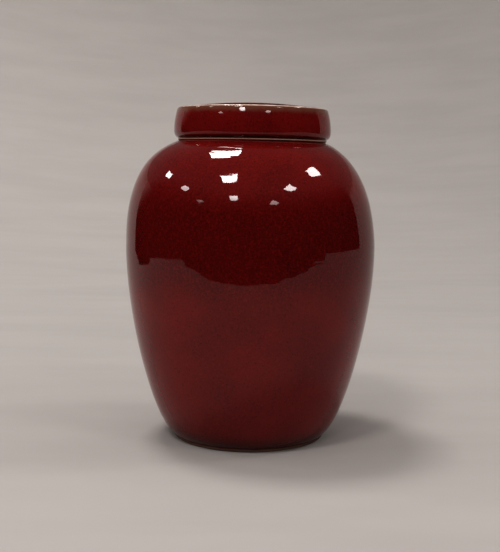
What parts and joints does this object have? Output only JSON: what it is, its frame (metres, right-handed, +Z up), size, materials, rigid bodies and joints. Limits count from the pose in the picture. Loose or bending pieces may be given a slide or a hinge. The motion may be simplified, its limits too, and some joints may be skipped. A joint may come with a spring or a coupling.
{
  "type": "ginger jar",
  "caption": "Lidded ginger jar: egg-shaped glazed stoneware jar with a short upright neck and foot ring, and a loose cap lid that lifts off the neck.",
  "frame": {"origin": "centre of the foot ring, on the surface that the jar stands on", "axes": "+Z up along the jar's axis; X and Y are alike because the jar is turned"},
  "size_m": [0.171, 0.171, 0.229],
  "materials": {
    "jar_glaze": "gloss oxblood glaze, finely mottled, thin and pale at edges, bare clay on the foot ring and lid seat",
    "lid_glaze": "gloss oxblood glaze, thin and pale along the top edge, bare clay on the rim"
  },
  "bodies": {
    "jar": {"jar": "jar_glaze"},
    "lid": {"lid": "lid_glaze"}
  },
  "joints": [
    {"name": "lid_lift", "type": "slide", "parent": "jar", "child": "lid", "axis": [0, 0, 1], "range_m": [0, 0.12]}
  ]
}
